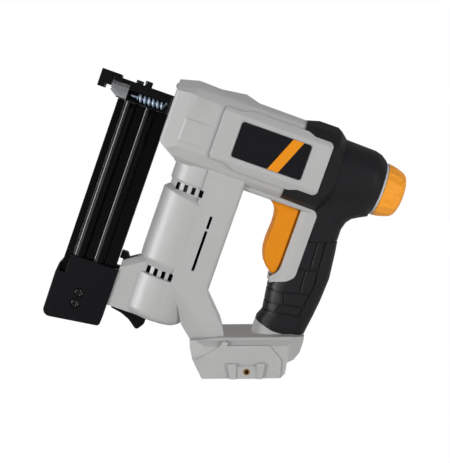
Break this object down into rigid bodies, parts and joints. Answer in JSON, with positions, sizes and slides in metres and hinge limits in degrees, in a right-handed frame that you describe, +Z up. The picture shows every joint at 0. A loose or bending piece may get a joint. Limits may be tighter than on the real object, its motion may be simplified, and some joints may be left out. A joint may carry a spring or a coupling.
{
  "type": "cordless stapler",
  "caption": "Hand-held battery stapler with a grey clamshell body, black soft grip, orange trigger and power knob, slanted fastener magazine and slide-on battery foot.",
  "frame": {"origin": "centre of the battery foot's underside, midway between the sides", "axes": "+Z up from the battery foot, +X towards the power knob at the rear, -X towards the nose, +Y to the tool's right side"},
  "size_m": [0.3003, 0.076, 0.251],
  "materials": {
    "housing_grey": "fine moulded grain, light grey",
    "grip_black": "soft overmould, fine matte grain",
    "accent_orange": "satin moulded orange",
    "ring_grey": "satin light grey",
    "nose_black": "black oxide, satin",
    "magazine_black": "gloss black anodised extrusion",
    "block_black": "satin black",
    "guide_cast": "fine die-cast",
    "label_black": "smooth gloss film",
    "lens_clear": "clear dome",
    "insert_brass": "turned",
    "screw_black": "black oxide",
    "steel": "machined",
    "inner_alloy": "die-cast",
    "inner_plastic": "moulded black",
    "board_green": "lacquered board",
    "bumper_rubber": "moulded"
  },
  "bodies": {
    "tool_body": {"housing_left": "housing_grey", "housing_right": "housing_grey", "side_panel_left": "housing_grey", "side_panel_right": "housing_grey", "grip_left": "grip_black", "grip_right": "grip_black", "trim_ring": "ring_grey", "nose_block": "nose_black", "nose_guide": "guide_cast", "label_plate": "label_black", "lamp_lens": "lens_clear", "belt_hook_inserts": "insert_brass", "battery_terminals": "insert_brass", "nose_screws": "screw_black", "housing_screws": "screw_black", "trigger_pin": "steel", "trigger_spring": "steel", "contact_spring": "steel", "magazine_rail": "steel", "latch_pin": "steel", "latch_spring": "steel", "lifter_bearing": "steel", "motor_can": "steel", "drive_spring": "steel", "gear_frame": "inner_alloy", "guide_tube": "inner_alloy", "gearbox_case": "inner_alloy", "trigger_switch": "inner_plastic", "terminal_block": "inner_plastic", "control_board": "board_green", "bumper": "bumper_rubber"},
    "knob": {"power_knob": "accent_orange", "adjuster_screw": "steel"},
    "seat": {"spring_seat": "inner_alloy"},
    "trigger_arm": {"trigger": "accent_orange"},
    "contact": {"contact_foot": "nose_black", "contact_pin": "steel"},
    "magazine_slide_body": {"magazine": "magazine_black", "magazine_end_block": "block_black", "end_block_screws": "screw_black", "feed_spring": "steel"},
    "feeder": {"pusher": "steel"},
    "latch": {"latch_lever": "block_black"},
    "output": {"output_pinion": "steel"},
    "lifter": {"lifter_wheel": "steel"},
    "rotor": {"motor_rotor": "steel", "cooling_fan": "inner_plastic"},
    "hammer": {"plunger": "steel", "driver_blade": "steel"}
  },
  "joints": [
    {"name": "knob_turn", "type": "hinge", "parent": "tool_body", "child": "knob", "pos_m": [0.12258, 0, 0.14968], "axis": [0.9432, 0, -0.3322], "range_deg": [0, 270.05]},
    {"name": "seat_slide", "type": "slide", "parent": "tool_body", "child": "seat", "axis": [-0.9432, 0, 0.3322], "range_m": [0, 0.0045], "deforming": ["drive_spring"]},
    {"name": "trigger_pull", "type": "hinge", "parent": "tool_body", "child": "trigger_arm", "pos_m": [0.03772, 0, 0.14351], "axis": [0, -1, 0], "range_deg": [0, 8], "stiffness_Nm_per_rad": 0.8, "springref_deg": -6.88, "deforming": ["trigger_spring"]},
    {"name": "contact_slide", "type": "slide", "parent": "tool_body", "child": "contact", "axis": [0.9432, 0, -0.3322], "range_m": [0, 0.005], "stiffness_N_per_m": 300, "springref_m": -0.006, "deforming": ["contact_spring"]},
    {"name": "magazine_pull", "type": "slide", "parent": "tool_body", "child": "magazine_slide_body", "axis": [-0.3322, 0, -0.9432], "range_m": [0, 0.1]},
    {"name": "pusher_slide", "type": "slide", "parent": "magazine_slide_body", "child": "feeder", "axis": [-0.3322, 0, -0.9432], "range_m": [0, 0.09], "stiffness_N_per_m": 12, "springref_m": -0.25, "deforming": ["feed_spring"]},
    {"name": "latch_turn", "type": "hinge", "parent": "tool_body", "child": "latch", "pos_m": [-0.09915, 0, 0.06343], "axis": [0, 1, 0], "range_deg": [0, 8], "stiffness_Nm_per_rad": 0.5, "springref_deg": -6.88, "deforming": ["latch_spring"]},
    {"name": "rotor_spin", "type": "hinge", "parent": "tool_body", "child": "rotor", "pos_m": [-0.04813, 0, 0.1165], "axis": [0.3322, 0, 0.9432], "range_deg": [0, 1571.2]},
    {"name": "output_turn", "type": "hinge", "parent": "tool_body", "child": "output", "pos_m": [-0.03086, 0, 0.16554], "axis": [0.3322, 0, 0.9432], "range_deg": [0, 392.8]},
    {"name": "lifter_turn", "type": "hinge", "parent": "tool_body", "child": "lifter", "pos_m": [-0.01177, -0.00889, 0.1779], "axis": [-0.3322, 0, -0.9432], "range_deg": [0, 196.4]},
    {"name": "plunger_slide", "type": "slide", "parent": "tool_body", "child": "hammer", "axis": [0.9432, 0, -0.3322], "range_m": [0, 0.04798], "stiffness_N_per_m": 200, "springref_m": -0.03, "deforming": ["drive_spring"]}
  ],
  "couplings": [
    {"joint": "knob_turn", "follows": "seat_slide", "rad_per_m": 1047.2},
    {"joint": "rotor_spin", "follows": "plunger_slide", "rad_per_m": 571.43},
    {"joint": "output_turn", "follows": "plunger_slide", "rad_per_m": 142.86},
    {"joint": "lifter_turn", "follows": "plunger_slide", "rad_per_m": 71.429}
  ]
}
